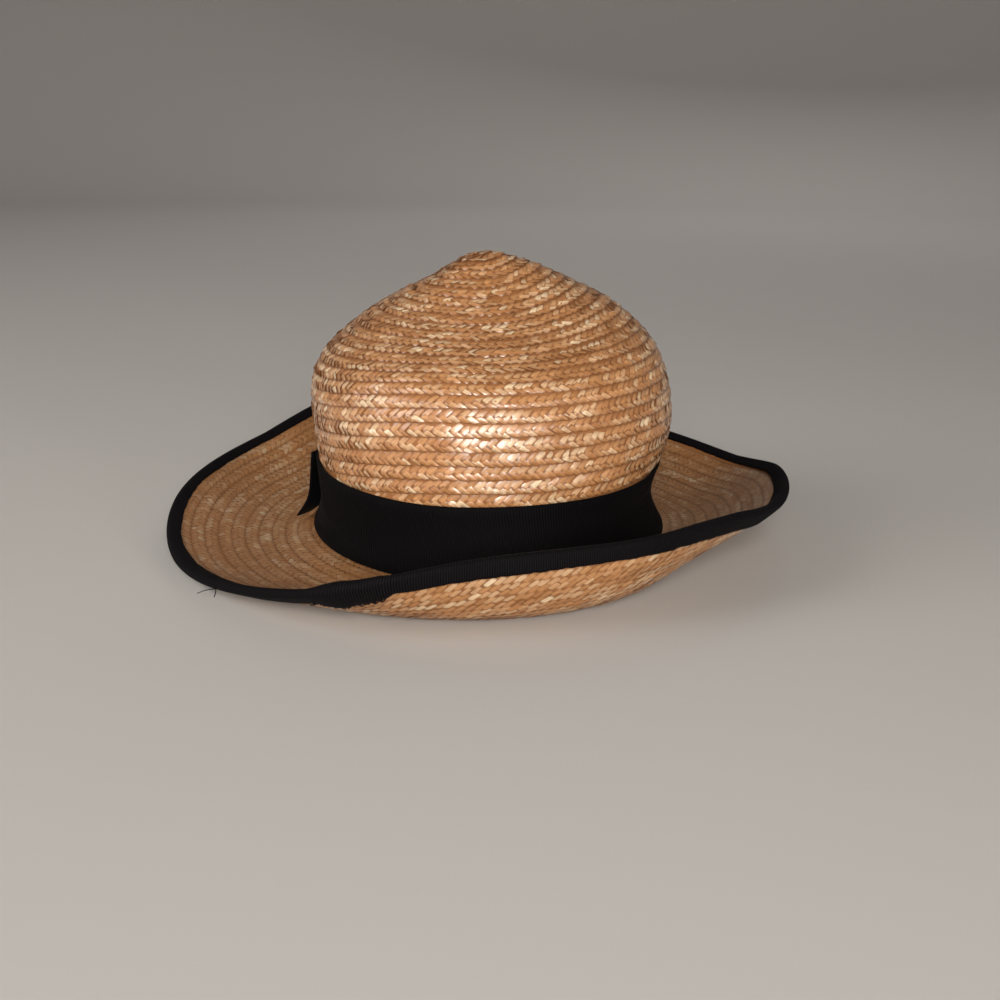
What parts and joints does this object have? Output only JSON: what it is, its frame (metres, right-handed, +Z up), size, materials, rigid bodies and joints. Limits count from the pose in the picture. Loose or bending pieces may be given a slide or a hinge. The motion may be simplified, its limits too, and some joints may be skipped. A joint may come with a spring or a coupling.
{
  "type": "straw fedora hat",
  "caption": "Sewn straw hat with a blunt peaked crown, a curled brim bound in black ribbon, and a black ribbon band with a side bow.",
  "frame": {"origin": "middle of the hat's box, on the surface the brim rests on", "axes": "+Z up out of the crown, +Y towards the front of the hat, -X towards the side with the bow"},
  "size_m": [0.2918, 0.3028, 0.1331],
  "materials": {
    "straw": "satin plaited straw",
    "ribbon": "matt ribbed ribbon"
  },
  "bodies": {
    "root": {"crown": "straw", "brim": "straw", "band": "ribbon", "bow_knot": "ribbon", "bow_loop": "ribbon", "bow_tail": "ribbon", "brim_binding": "ribbon", "binding_lap": "ribbon"}
  },
  "joints": []
}
